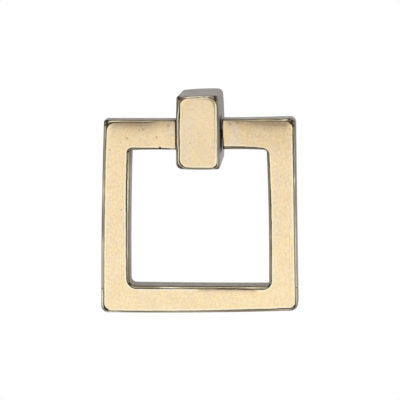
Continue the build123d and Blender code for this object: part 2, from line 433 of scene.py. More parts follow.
def rounded_run(corners, radii, bows, counts):
    """A run of bowed stretches joined by arcs, in one plane.

    A corner's arc has its centre where both stretches' lines, moved right by the radius, cross. Its points
    are the centre less the radius times a direction that turns evenly from one stretch's right to the next's.
    Each stretch is bowed to its right by its bow times 4 t (1 - t), where t runs from 0 to 1 along it.
    Returns the points, and for each its station, which is the stretch's number plus the share along the
    stretch, and its turn, which is the share through an arc and 0 outside the arcs.
    """
    corners = np.asarray(corners, float) * MM
    right = rights_of(corners)
    starts, ends, arcs = [corners[0]], [], []
    for corner, radius, before, after in zip(corners[1:-1], np.asarray(radii) * MM, right[:-1], right[1:]):
        centre = corner + radius * (before + after) / (1.0 + before @ after)
        first, last = math.atan2(before[1], before[0]), math.atan2(after[1], after[0])
        turn = (last - first + math.pi) % (2.0 * math.pi) - math.pi
        arcs.append((centre, radius, first, turn))
        ends.append(centre - radius * before)
        starts.append(centre - radius * after)
    ends.append(corners[-1])

    points, stations, turns = [], [], []
    for number, (start, end) in enumerate(zip(starts, ends)):
        share = np.linspace(0.0, 1.0, counts[number])
        bow = bows[number] * MM * 4.0 * share * (1.0 - share)
        points.append(start + (end - start) * share[:, None] + right[number] * bow[:, None])
        stations.append(number + share)
        turns.append(np.zeros(len(share)))
        if number < len(arcs):
            centre, radius, first, turn = arcs[number]
            share = np.linspace(0.0, 1.0, ARC_STEPS + 1)[1:-1]
            direction = first + turn * share
            points.append(centre - radius * np.stack([np.cos(direction), np.sin(direction)], axis=1))
            stations.append(np.full(len(share), number + 1.0))
            turns.append(share)
    return np.concatenate(points), np.concatenate(stations), np.concatenate(turns)


def moved_in(corners, margins):
    """The corners of a run whose stretches are each moved to the right by their margin.

    Each new corner is where the two moved lines beside it cross. An end moves straight across its stretch.
    """
    corners = np.asarray(corners, float)
    right = rights_of(corners)
    moved = [corners[0] + right[0] * margins[0]]
    for number, corner in enumerate(corners[1:-1]):
        beside = slice(number, number + 2)
        moved.append(corner + np.linalg.solve(right[beside], np.array(margins[beside])))
    moved.append(corners[-1] + right[-1] * margins[-1])
    return np.array(moved)


def loft_shares(stretches, lines):
    """How a surface passes over a list of lines: its share of each, sideways and in depth, and its travel.

    Each stretch goes from one line to the next and is flat, or a quarter ellipse between a face and a side.
    At angle a from the face, the ellipse has 1 - sin a of the face's line and sin a of the side's sideways,
    and cos a and 1 - cos a of them in depth. Travel goes evenly with the angle or the share.
    """
    across, deep, travel = [], [], []
    for start, end, shape, count, leaves, arrives in stretches:
        share = np.arange(count) / count
        turned = (1.0 - share if shape == "onto face" else share) * 0.5 * np.pi
        to_across = {"flat": share, "onto side": np.sin(turned), "onto face": 1.0 - np.sin(turned)}[shape]
        to_deep = {"flat": share, "onto side": 1.0 - np.cos(turned), "onto face": np.cos(turned)}[shape]
        for rows, to_share in ((across, to_across), (deep, to_deep)):
            weights = np.zeros((count, lines))
            weights[:, start] = 1.0 - to_share
            weights[:, end] += to_share
            rows.append(weights)
        travel.append(leaves + (arrives - leaves) * share)
    return np.concatenate(across), np.concatenate(deep), np.concatenate(travel)


def lofted(lines, across, deep):
    """The surface that has the given shares of the lines, sideways and in depth."""
    surface = np.einsum("vk,knc->vnc", across, lines)
    surface[..., 1] = deep @ lines[..., 1]
    return surface


def standing(flat, depth):
    """Points of a run, across and up, stood in the frame at one depth."""
    return np.stack([flat[:, 0], np.full(len(flat), depth), flat[:, 1]], axis=1)


def distance_to(points, line):
    """How far each point of an array of rows is from the nearest point of a line, row by row."""
    return np.stack([
        np.sqrt(((row[:, None, :] - line[None, :, :]) ** 2).sum(-1)).min(1) for row in points])


def pits_at(x, z, pits):
    """A soft dent at each pit: the largest of exp(-(distance over radius) squared)."""
    depth = np.zeros(x.shape)
    for pit_x, pit_z, radius in pits:
        depth = np.maximum(depth, np.exp(-((x - pit_x) ** 2 + (z - pit_z) ** 2) / radius ** 2))
    return depth


def spots_at(x, z, spots):
    """A filled spot at each place: full to half its radius from there, and nothing at one and a half."""
    fill = np.zeros(x.shape)
    for spot_x, spot_z, radius in spots:
        fill = np.maximum(fill, 1.5 - np.hypot(x - spot_x, z - spot_z) / radius)
    return np.minimum(fill, 1.0)


def groove_at(x, z, line):
    """A soft groove along a bent line: its strength at the nearest point of it, at most 1, times
    exp(-(distance over the groove's width) squared). A strength over 1 widens it by as much."""
    share = np.linspace(0.0, len(line) - 1.0, GROOVE_SAMPLES * len(line))
    across, up, strength = (np.interp(share, range(len(line)), values) for values in zip(*line))
    apart = (x[..., None] - across) ** 2 + (z[..., None] - up) ** 2
    strength = strength[apart.argmin(axis=-1)]
    width = GROOVE_WIDTH * np.maximum(strength, 1.0)
    return np.minimum(strength, 1.0) * np.exp(-apart.min(axis=-1) / width ** 2)


def along_edge(stations, pairs):
    """A value given at some stations, read at all of them."""
    return np.interp(stations, *zip(*pairs))


def along_side(stations, number):
    """Whether each station lies on the side of that number, clear of its corners."""
    return (stations > number + 0.02) & (stations < number + 0.98)


def corner_closeness(line, turns, spread):
    """1 at the middle of each corner's arc, falling as exp(-(distance over spread) squared) away from it."""
    middles = line[np.abs(turns - 0.5) < 0.01]
    return hump(distance_to(line[None], middles)[0], 0.0, spread * MM)


def rim_glow(travel, bands):
    """The polished front's tone inside its edge: warmer in the first band, and cooler in the second."""
    warm, cool = bands
    return (hump(-travel, *warm) - COOL_GLOW * hump(-travel, *cool)) * (travel < FRONT_END)


def linked(name, data):
    """A new object that holds the data, linked to the scene."""
    item = bpy.data.objects.new(name, data)
    bpy.context.scene.collection.objects.link(item)
    return item


def tube_mesh(name, rings, marks, material):
    """A closed surface from rings of points, each ring joined to the next and its last point to its first.

    rings is an array of rows by columns by 3. Its first and last rows lie closed up, each on a point or on a
    doubled line, and merging their doubles seals the surface. marks holds one value for each point by name.
    """
    rows, columns = rings.shape[:2]
    row = np.arange(rows - 1)[:, None] * columns
    column = np.arange(columns)[None, :]
    following = (column + 1) % columns
    faces = np.stack([row + column, row + columns + column, row + columns + following, row + following], -1)

    mesh = bpy.data.meshes.new(name)
    mesh.from_pydata(rings.reshape(-1, 3).tolist(), [], faces.reshape(-1, 4).tolist())
    for mark, values in marks.items():
        layer = mesh.attributes.new(mark, "FLOAT", "POINT")
        layer.data.foreach_set("value", np.ascontiguousarray(values, np.float32).ravel())

    shell = bmesh.new()
    shell.from_mesh(mesh)
    bmesh.ops.remove_doubles(shell, verts=shell.verts, dist=MERGE_DISTANCE)
    bmesh.ops.recalc_face_normals(shell, faces=shell.faces)
    shell.to_mesh(mesh)
    shell.free()
    mesh.shade_smooth()
    mesh.materials.append(material)
    return linked(name, mesh)


def ring_rings(sizes, rng):
    """The ring's surface as rings of points, with its marks.

    Eight lines follow the open square: the front of the outer side, the edges of the front face, the front
    and back of the inner side, the edges of the back face, and the back of the outer side. The section passes
    over all eight and back to the first. Beyond the arms' last sections it goes round their ends and down
    their bores.
    """
    front, back = ring_low.y, ring_high.y
    front_side, back_side = front + sizes.edge_radius, back - sizes.back_radius
    lengths = np.linalg.norm(np.diff(np.array(OUTER_CORNERS), axis=0), axis=1) * MM
    counts = np.round(lengths / SURFACE_STEP).astype(int)
    back_margin = sizes.back_radius / MM

    def run(corners, radii, bows, margins=(0.0,) * 5):
        return rounded_run(moved_in(corners, margins), radii, bows, counts)

    outer, stations, turns = run(OUTER_CORNERS, OUTER_RADII, OUTER_BOWS)
    inner_front = run(INNER_CORNERS, INNER_RADII, INNER_BOWS, INNER_DRAFT)[0]
    inner = run(INNER_CORNERS, INNER_RADII, INNER_BOWS)[0]
    outer_face = run(OUTER_FACE, OUTER_FACE_RADII, OUTER_FACE_BOWS)[0]
    inner_face = run(INNER_FACE, INNER_FACE_RADII, INNER_FACE_BOWS)[0]
    outer_back = run(OUTER_CORNERS, OUTER_BACK_RADII, OUTER_BOWS, [back_margin] * 5)[0]
    inner_back = run(INNER_CORNERS, INNER_BACK_RADII, INNER_BOWS, [-back_margin] * 5)[0]
    on_arm = (stations < 1.0) | (stations > 4.0)
    outer_face[:, 1] += sizes.arm_rise * on_arm * ramp(np.abs(outer[:, 0]) / MM, *ARM_RISE_REACH)

    lines = np.stack([
        standing(outer, front_side), standing(outer_face, front), standing(inner_face, front),
        standing(inner_front, front_side), standing(inner, back_side), standing(inner_back, back),
        standing(outer_back, back), standing(outer, back_side)])
    across, deep, travel = loft_shares(RING_SECTION, len(lines))
    body = lofted(lines, across, deep).transpose(1, 0, 2)
    body[..., 0] = np.clip(body[..., 0], cad_low.x, cad_high.x)
    x, z = body[..., 0] / MM, body[..., 2] / MM

    waves = ripple(body, RING_RIPPLE_LENGTH * MM, rng) * sizes.waviness
    dents = pits_at(x, z, RING_PITS) * (travel < RING_PITS_END)
    body[..., 1] += np.clip(1.0 - travel, 0.0, 1.0) * (waves + RING_PIT_DEPTH * MM * dents)

    on_front = travel <= 0.0
    front_points = body[:, on_front][..., [0, 2]]
    from_outer, from_inner = distance_to(front_points, outer_face), distance_to(front_points, inner_face)
    travel = np.repeat(travel[None, :], len(body), axis=0)
    travel[:, on_front] = -np.minimum(from_outer, from_inner) / MM
    outer_half = across[:, RING_OUTER_LINES].sum(axis=1) > 0.5

    def by_half(outer_values, inner_values):
        return np.where(outer_half, outer_values[:, None], inner_values[:, None])

    marks = {"travel": travel, "pit": dents}
    for line in OUTER_LINES:
        marks[line] = by_half(
            along_edge(stations, OUTER_LINES[line]), along_edge(stations, INNER_LINES[line]))
    marks["corner"] = CORNER_OXIDE * by_half(
        corner_closeness(outer_face, turns, OUTER_CORNER_SPREAD),
        corner_closeness(inner_face, turns, INNER_CORNER_SPREAD))
    upper_edge = outer_face[on_arm][np.argsort(outer_face[on_arm, 0])] / MM
    streak = np.zeros(x.shape)
    streak[:, on_front] = np.exp(-from_inner / (STREAK_WIDTH * MM))
    marks["stain_and_shade"] = ring_stain_and_shade(x, z, upper_edge, streak)
    # Oxide spots, and painted shade over each arm's end beside the post
    limit = np.where(x > 0.0, along_edge(z, RIGHT_ARM_END), LEFT_ARM_END)
    shade_beside_post = ramp(np.abs(x) - limit, 0.0, -ARM_END_FADE) * (z > ARMS_ABOVE)
    marks["oxide_spots_and_shade"] = np.maximum(spots_at(x, z, RING_SPOTS), shade_beside_post) * (travel < SPOTS_END)
    bloom = sum(strength * hump(x, middle, width, power) for middle, width, power, strength in BLOOMS)
    bloom *= ramp(z, *BLOOM_TOP) * ramp(z, *BLOOM_BOTTOM)
    marks["pale"] = np.where(travel > BLOOM_END, marks["pale"], bloom)
    # Edges that look left are warmer, on the outer left and the inner right. So is a patch on the right arm
    looks_left = by_half(along_side(stations, 3), along_side(stations, 1))
    marks["warmth"] = rim_glow(travel, RING_GLOW) * looks_left
    marks["warmth"] += WARM_PATCH_GLOW * hump(x, *WARM_PATCH) * (z > WARM_PATCH_ABOVE)
    marks["upright"] = ramp(np.abs(x), *SIDE_BARS_FROM)
    return with_arm_ends(body, marks, sizes)


def ring_stain_and_shade(x, z, upper_edge, streak):
    """How brown the ring's front is.

    Below the arms' upper edges it falls as 1 over 1 + (distance over its depth) squared. A streak along the
    opening's lower edge, smudges, wide soft tarnish towards the top and a painted shade towards the right arm's
    end are added to that.
    """
    below = np.maximum(np.interp(x, upper_edge[:, 0], upper_edge[:, 1]) - z, 0.0)
    stain_and_shade = along_edge(x, ARM_STAIN) / (1.0 + (below / ARM_STAIN_DEPTH) ** 2)
    stain_and_shade += STREAK * streak * ramp(x, *STREAK_START) * ramp(x, *STREAK_END) * (z < STREAK_BELOW)
    stain_and_shade += SMUDGE * pits_at(x, z, SMUDGES)
    # Painted shade, darker towards the right arm's end
    stain_and_shade += RIGHT_ARM_SHADE * ramp(x, *RIGHT_ARM_SHADE_ACROSS) * ramp(z, *RIGHT_ARM_SHADE_UP)
    stain_and_shade += LOWER_TARNISH * ramp(z, *LOWER_TARNISH_UP) + UPPER_TARNISH * ramp(z, *UPPER_TARNISH_UP)
    return np.minimum(stain_and_shade, 1.0)


def with_arm_ends(body, marks, sizes):
    """Adds the rings past each arm's last section: round its end, in to the bore, and down it to its tip.

    Through the rounded end, a point moves in against the section's outward direction by the radius times
    1 - cos a, and towards the post by the radius times sin a. On the flat end it runs straight to the bore's
    circle, at its own angle about the pivot. Travel there rises to a side's, and the mark of oxide spots and
    shade to full: painted shade over the ends and down the bores.
    """
    radius = sizes.arm_end_radius
    bore_radius = (pin_high.z - pin_low.z) / 2 + sizes.bore_clearance
    turn = np.linspace(0.0, 0.5 * np.pi, ARM_END_POINTS)[1:, None, None]
    inwards = np.linspace(0.0, 1.0, ARM_FLAT_POINTS)[1:, None, None]
    ends = []
    for section in (body[0], body[-1]):
        side = math.copysign(1.0, section[0, 0])
        tangent = np.roll(section, -1, axis=0) - np.roll(section, 1, axis=0)
        outward = np.stack([np.zeros(len(section)), -tangent[:, 2], tangent[:, 1]], axis=1)
        outward /= np.linalg.norm(outward, axis=1, keepdims=True)
        middle = section.mean(axis=0)
        outward *= np.sign(np.sum(outward * (section - middle), axis=1).sum())
        towards_post = np.array([-side, 0.0, 0.0])
        rounded = section - outward * radius * (1.0 - np.cos(turn)) + towards_post * radius * np.sin(turn)
        edge = rounded[-1]
        about = np.arctan2(edge[:, 2] - pivot_z, edge[:, 1] - pivot_y)
        circle = np.stack([
            np.full(len(edge), edge[:, 0].mean()), pivot_y + bore_radius * np.cos(about),
            pivot_z + bore_radius * np.sin(about)], axis=1)
        flat = edge * (1.0 - inwards) + circle * inwards
        depth = pin_high.x + sizes.bore_end_gap - abs(circle[0, 0])
        bore = circle - towards_post * np.linspace(0.0, depth, BORE_POINTS)[1:, None, None]
        tip = bore[-1:].copy()
        tip[..., 0] += side * bore_radius / 2
        tip[..., 1:] = pivot_y, pivot_z
        ends.append(np.concatenate([rounded, flat, bore, tip]))
    rings = np.concatenate([ends[0][::-1], body, ends[1]])

    extra = len(ends[0])
    rise = np.minimum(np.arange(1, extra + 1) / len(turn), 1.0)[:, None]
    full = {}
    for name, values in marks.items():
        tails = [np.repeat(row[None, :], extra, axis=0) for row in (values[0], values[-1])]
        # The painted shade rises to full over the arms' ends and down their bores
        if name in {"travel", "oxide_spots_and_shade"}:
            tails = [np.maximum(rows, rise) for rows in tails]
        full[name] = np.concatenate([tails[0][::-1], values, tails[1]])
    return rings, full


def closed_run(corners, radii, bows, margin=0.0):
    """A closed run of four sides, each moved in by the margin, with its stations and turns.

    It starts and ends halfway along the top, so that all four corners are rounded. The top is side 0.
    """
    first = (np.array(corners[0]) + np.array(corners[1])) / 2 - np.array([0.0, bows[0]])
    around = [first, *corners[1:], corners[0], first]
    bows = [bows[0] / 4, *bows[1:], bows[0] / 4]
    points, stations, turns = rounded_run(
        moved_in(around, [margin] * 5), [*radii[1:], radii[0]], bows, POST_SIDE_POINTS)
    stations = np.select(
        [stations < 1.0, stations >= 4.0], [0.5 + stations / 2, (stations - 4.0) / 2], stations)
    return points[:-1], stations[:-1], turns[:-1]


def fixing_hole_rings(about, sizes):
    """The rings of the fixing hole's threaded wall and of its drilled tip, at the angles given.

    The wall's radius follows a triangle wave of the depth down the hole over the pitch, less the angle over a
    full turn, which makes a helix. The wave fades over half a pitch at both ends, and the mouth opens out.
    """
    back, hole_depth, pitch = post_high.y, fixing_hole["length_mm"] * MM, sizes.thread_pitch
    down = np.append(np.arange(0.0, hole_depth, pitch / THREAD_STEPS), hole_depth)[:, None]
    phase = (down / pitch - about / (2.0 * np.pi)) % 1.0
    wave = 2.0 * np.minimum(phase, 1.0 - phase)
    fade = np.minimum(np.minimum(down, hole_depth - down) / (0.5 * pitch), 1.0)
    opening = np.clip(1.0 - down / (0.5 * pitch), 0.0, 1.0)
    radius = fixing_hole["r_mm"] * MM + sizes.thread_depth * (wave * fade + opening)
    depth = np.broadcast_to(back - down, radius.shape)
    wall = np.stack([radius * np.cos(about), depth, radius * np.sin(about)], axis=-1)
    tip = np.zeros((1, len(about), 3))
    tip[..., 1] = back - hole_depth - sizes.drill_point
    return np.concatenate([wall, tip])


def post_rings(sizes, rng):
    """The post's surface as rings of points, with its marks.

    Six lines go round the post: the middle of its front face, that face's edge, the front and back of the
    sides, the back face's edge and the mouth of the fixing hole. The surface passes over them in turn, and
    goes on down the hole.
    """
    front, back = post_low.y, post_high.y
    front_side, back_side = front + sizes.front_radius, back - sizes.back_radius
    outline_front, stations, turns = closed_run(POST_FRONT, POST_RADII, POST_BOWS)
    outline_back = closed_run(POST_BACK, POST_BACK_RADII, POST_BACK_BOWS)[0]
    face_edge = closed_run(POST_FACE, POST_FACE_RADII, POST_FACE_BOWS)[0]
    back_margin = sizes.back_radius / MM
    back_radii = [radius - back_margin for radius in POST_BACK_RADII]
    back_edge = closed_run(POST_BACK, back_radii, POST_BACK_BOWS, back_margin)[0]
    reach = (post_high.z - post_low.z) / 2 - (post_high.x - post_low.x) / 2
    # The spine's points on the right and left have the same heights, so that they merge
    height = (face_edge[:, 1] + np.roll(face_edge[::-1, 1], 1)) / 2
    spine = np.stack([np.zeros(len(face_edge)), np.clip(height, -reach, reach)], axis=1)
    about = np.arctan2(back_edge[:, 1], back_edge[:, 0])
    mouth_radius = fixing_hole["r_mm"] * MM + sizes.thread_depth
    mouth = mouth_radius * np.stack([np.cos(about), np.sin(about)], axis=1)

    lines = np.stack([
        standing(spine, front), standing(face_edge, front), standing(outline_front, front_side),
        standing(outline_back, back_side), standing(back_edge, back), standing(mouth, back)])
    across, deep, travel = loft_shares(POST_SECTION, len(lines))
    body = lofted(lines, across, deep)
    body[..., 2] = np.clip(body[..., 2], post_low.z, post_high.z)
    x, z = body[..., 0] / MM, body[..., 2] / MM

    waves = ripple(body, POST_RIPPLE_LENGTH * MM, rng)
    waves = np.maximum(waves - waves[travel <= 0.0].min(), 0.0) * sizes.waviness
    travel = np.repeat(travel[:, None], len(about), axis=1)
    dents = np.maximum(pits_at(x, z, POST_PITS), groove_at(x, z, POST_GROOVE)) * (travel < POST_PITS_END)
    body[..., 1] += np.clip(1.0 - travel, 0.0, 1.0) * (waves + POST_DENT_DEPTH * MM * dents)
    on_front = travel[:, 0] <= 0.0
    travel[on_front] = -distance_to(body[on_front][..., [0, 2]], face_edge) / MM

    hole = fixing_hole_rings(about, sizes)
    rings = np.concatenate([body, hole])
    travel = np.concatenate([travel, np.full(hole.shape[:2], 3.0)])
    x, z = rings[..., 0] / MM, rings[..., 2] / MM
    marks = {"travel": travel, "pit": np.concatenate([dents, np.zeros(hole.shape[:2])])}
    for line in POST_LINES:
        marks[line] = np.broadcast_to(along_edge(stations, POST_LINES[line]), travel.shape)
    closeness = corner_closeness(face_edge, turns, POST_CORNER_SPREAD)
    marks["corner"] = CORNER_OXIDE * np.broadcast_to(closeness, travel.shape)
    marks["stain_and_shade"] = (POST_TOP_STAIN * ramp(z, *POST_STAIN_UP) + POST_STAIN) * ramp(x, *POST_STAIN_ACROSS)
    # Beside each arm's end the side is darker: painted shade, where the arm shadows it
    along, up = np.abs(rings[..., 1] - pivot_y) / MM, np.abs(rings[..., 2] - pivot_z) / MM
    from_arm = np.hypot(
        np.maximum(along - SHELTER_HALF_DEPTH, 0.0), np.maximum(up - SHELTER_HALF_HEIGHT, 0.0))
    arm_shade = SHELTER_SHADE * ramp(from_arm, SHELTER_FADE, 0.0) * (np.abs(x) > POST_SIDES_FROM)
    marks["oxide_spots_and_shade"] = np.maximum(arm_shade, spots_at(x, z, POST_SPOTS) * (travel < SPOTS_END))
    # Lower on the post's sides the patina is painted lighter, as light from the floor
    pale_sides = ramp(z, *PALE_SIDES_DOWN) * (travel > MIDDLE_OF_EDGE)
    marks["pale"] = np.maximum(pale_sides, marks["pale"] * (travel < POST_LINES_END))
    marks["upright"] = np.full(travel.shape, 0.5)
    glows = (x < POST_GLOW_LEFT_OF) * (np.abs(z) < POST_GLOW_HALF_HEIGHT)
    marks["warmth"] = rim_glow(travel, POST_GLOW) * glows
    return rings, marks


def add(tree, kind, inputs=None, **settings):
    """Adds a node with its settings, and gives each named input a value or links it to a socket."""
    node = tree.nodes.new(kind)
    for name, value in settings.items():
        setattr(node, name, value)
    for name, value in (inputs or {}).items():
        if isinstance(value, bpy.types.NodeSocket):
            tree.links.new(value, node.inputs[name])
        else:
            node.inputs[name].default_value = value
    return node


def math_node(tree, operation, *values):
    """One step of arithmetic on values or sockets."""
    return add(tree, "ShaderNodeMath", dict(enumerate(values)), operation=operation).outputs[0]


def mixed(tree, factor, first, second, blend="MIX"):
    """Mixes two colours by a factor. A mix node keeps its colours in its seventh and eighth inputs."""
    node = add(tree, "ShaderNodeMix", {0: factor, 6: first, 7: second}, data_type="RGBA", blend_type=blend)
    return node.outputs[2]


def multiplied(tree, first, second):
    """One colour times the other."""
    return mixed(tree, 1.0, first, second, "MULTIPLY")


def between(tree, factor, first, second):
    """A value between two others. A mix node keeps them in its third and fourth inputs."""
    return add(tree, "ShaderNodeMix", {0: factor, 2: first, 3: second}).outputs[0]


def ranged(tree, value, low, high, to_low=0.0, to_high=1.0):
    """Maps a value smoothly from one range to another and holds it there."""
    return add(tree, "ShaderNodeMapRange", {
        "Value": value, "From Min": low, "From Max": high, "To Min": to_low, "To Max": to_high},
        interpolation_type="SMOOTHSTEP").outputs["Result"]


def noise(tree, scale, detail, stretch=None):
    """Noise on the object's own coordinates, in cycles to the metre, stretched by the given scales."""
    place = add(tree, "ShaderNodeTexCoord").outputs["Object"]
    if stretch is not None:
        place = add(tree, "ShaderNodeMapping", {"Vector": place, "Scale": stretch}).outputs["Vector"]
    return add(
        tree, "ShaderNodeTexNoise", {"Vector": place, "Scale": scale, "Detail": detail}).outputs["Fac"]


def new_group(name, inputs, outputs):
    """A node group with the named inputs, which have a default, and outputs."""
    group = bpy.data.node_groups.new(name, "ShaderNodeTree")
    for label, default in inputs.items():
        kind = "NodeSocketColor" if isinstance(default, tuple) else "NodeSocketFloat"
        group.interface.new_socket(name=label, in_out="INPUT", socket_type=kind).default_value = default
    for label, kind in outputs.items():
        group.interface.new_socket(name=label, in_out="OUTPUT", socket_type=f"NodeSocket{kind}")
    return group, group.nodes.new("NodeGroupInput").outputs, group.nodes.new("NodeGroupOutput").inputs


def placed(tree, name, build, inputs):
    """The outputs of a shared node group placed in a tree. It is built the first time it is asked for."""
    group = bpy.data.node_groups.get(name) or build(name)
    return add(tree, "ShaderNodeGroup", inputs, node_tree=group).outputs


def edge_line_group(name):
    """A line along an edge: full at its centre in travel, and smoothly nothing one width away."""
    group, given, out = new_group(
        name, {"Travel": 0.0, "Centre": 0.0, "Width": 0.1, "Strength": 1.0}, {"Mask": "Float"})
    apart = math_node(group, "ABSOLUTE", math_node(group, "SUBTRACT", given["Travel"], given["Centre"]))
    mask = ranged(group, math_node(group, "DIVIDE", apart, given["Width"]), 0.0, 1.0, 1.0, 0.0)
    group.links.new(math_node(group, "MULTIPLY", mask, given["Strength"]), out["Mask"])
    return group


def edge_bands_group(name):
    """The bands across a worn edge, by travel, which is 0 where the polished front ends and 1 on the side.

    From the front: a bright rim, a dark line, a painted highlight line, a second dark line and the side's patina,
    with oxide filling the corners. The two dark lines are partly oxide and partly painted dark reflection. The
    lines and the patina are read at travel over spread, so that less spread puts them nearer the front. Noise
    shakes and breaks them.
    """
    group, given, out = new_group(name, {
        "Travel": 0.0, "Spread": 1.0, "Near Line": 1.0, "Highlight Line": 1.0, "Far Line": 1.0, "Corner": 0.0,
        "Rim Amount": 0.5, "Face": WHITE, "Rim": WHITE, "Edge": WHITE, "Highlight": WHITE, "Oxide": WHITE,
        "Side": WHITE, "Back": WHITE}, {"Color": "Color", "Polish": "Float", "Oxide": "Float"})
    shake = math_node(group, "SUBTRACT", noise(group, 700.0, 3.0), 0.5)
    travel = math_node(group, "MULTIPLY_ADD", shake, 0.16, given["Travel"])
    spread = math_node(group, "DIVIDE", travel, given["Spread"])
    broken = ranged(group, noise(group, 330.0, 2.0), 0.3, 0.62, 0.6, 1.0)

    def band(place, strength):
        centre, width = place
        return placed(group, "edge_line", edge_line_group, {
            "Travel": spread, "Centre": centre, "Width": width,
            "Strength": math_node(group, "MULTIPLY", strength, broken)})["Mask"]

    rim = math_node(group, "MULTIPLY", ranged(group, travel, -0.5, -0.2), given["Rim Amount"])
    face = mixed(group, rim, given["Face"], given["Rim"])
    off_face = ranged(group, travel, -0.03, 0.10)
    metal = mixed(group, off_face, face, given["Edge"])
    metal = mixed(group, ranged(group, spread, 0.6, 1.02), metal, given["Side"])
    # A painted highlight along the edge's middle, turning towards the rim's colour as its strength goes from 0.5
    # to 1
    edge_highlight = mixed(group, ranged(group, given["Highlight Line"], 0.5, 1.0), given["Highlight"], given["Rim"])
    metal = mixed(group, band(HIGHLIGHT_BAND, given["Highlight Line"]), metal, edge_highlight)
    hollow = math_node(group, "MULTIPLY", ranged(group, travel, -0.02, 0.14), ranged(group, travel, 1.0, 0.7))
    oxide = math_node(group, "MULTIPLY", hollow, given["Corner"])
    # The near and far lines: dark lines that are partly oxide and partly painted dark reflection
    for line in (band(NEAR_BAND, given["Near Line"]), band(FAR_BAND, given["Far Line"])):
        oxide = math_node(group, "MAXIMUM", oxide, line)
    oxide = math_node(group, "MINIMUM", oxide, 1.0)
    metal = mixed(group, oxide, metal, given["Oxide"])
    metal = mixed(group, ranged(group, travel, 2.5, 3.0), metal, given["Back"])
    group.links.new(metal, out["Color"])
    group.links.new(math_node(group, "SUBTRACT", 1.0, off_face), out["Polish"])
    group.links.new(oxide, out["Oxide"])
    return group


def mottle_group(name):
    """Small differences of colour over a hand-polished front.

    Each is a tint between two colours: warm and cool streaks along the bar, greenish specks, wide patches,
    and a warm or cool tone given from outside, from -1 to 1. Fine grain darkens and lightens them all.
    """
    group, given, out = new_group(
        name, {"Color": WHITE, "Warmth": 0.0, "Upright": 0.5}, {"Color": "Color", "Height": "Float"})

    def streaked(scale, detail):
        level = noise(group, scale, detail, stretch=(0.75, 1.0, 1.15))
        upright = noise(group, scale, detail, stretch=(1.15, 1.0, 0.75))
        return between(group, given["Upright"], level, upright)

    grain = streaked(2000.0, 3.0)
    tint = given["Color"]
    for share, first, second in (
            (ranged(group, streaked(480.0, 2.0), 0.33, 0.67), (0.99, 0.998, 1.04), (1.015, 0.997, 0.945)),
            (ranged(group, noise(group, 1100.0, 2.0), 0.33, 0.67), (1.01, 0.982, 1.008), (0.99, 1.01, 0.988)),
            (ranged(group, noise(group, 110.0, 2.0), 0.3, 0.7), (0.97, 0.97, 0.99), (1.02, 1.01, 1.0)),
            (ranged(group, given["Warmth"], -1.0, 1.0), (0.98, 1.0, 1.10), (1.02, 0.99, 0.90))):
        tint = multiplied(group, tint, mixed(group, share, opaque(first), opaque(second)))
    fine = ranged(group, grain, 0.3, 0.7, 0.905, 1.07)
    group.links.new(multiplied(group, tint, fine), out["Color"])
    scratches = noise(group, 260.0, 4.0, stretch=(9.0, 1.0, 0.6))
    group.links.new(math_node(group, "MULTIPLY_ADD", scratches, 0.5, grain), out["Height"])
    return group


def cast_skin_group(name):
    """A sand-cast skin under patina: a fine grain with darker hollows."""
    group, given, out = new_group(
        name, {"Color": WHITE, "Amount": 1.0}, {"Color": "Color", "Height": "Float"})
    grain = noise(group, 1900.0, 5.0)
    clouds = math_node(group, "MULTIPLY", noise(group, 300.0, 3.0), 0.4)
    shade = math_node(group, "MULTIPLY_ADD", grain, 0.6, clouds)
    dark = multiplied(group, given["Color"], ranged(group, shade, 0.3, 0.7, 0.78, 1.2))
    group.links.new(mixed(group, given["Amount"], given["Color"], dark), out["Color"])
    group.links.new(grain, out["Height"])
    return group


def opaque(tone):
    """A colour with full alpha."""
    return (*tone, 1.0)


def new_material(name, uniform):
    """A material, its tree and its shader, whose sockets get the values that are the same all over."""
    material = bpy.data.materials.new(name)
    material.use_nodes = True
    shader = material.node_tree.nodes["Principled BSDF"]
    for label, value in uniform.items():
        shader.inputs[label].default_value = value
    return material, material.node_tree, shader


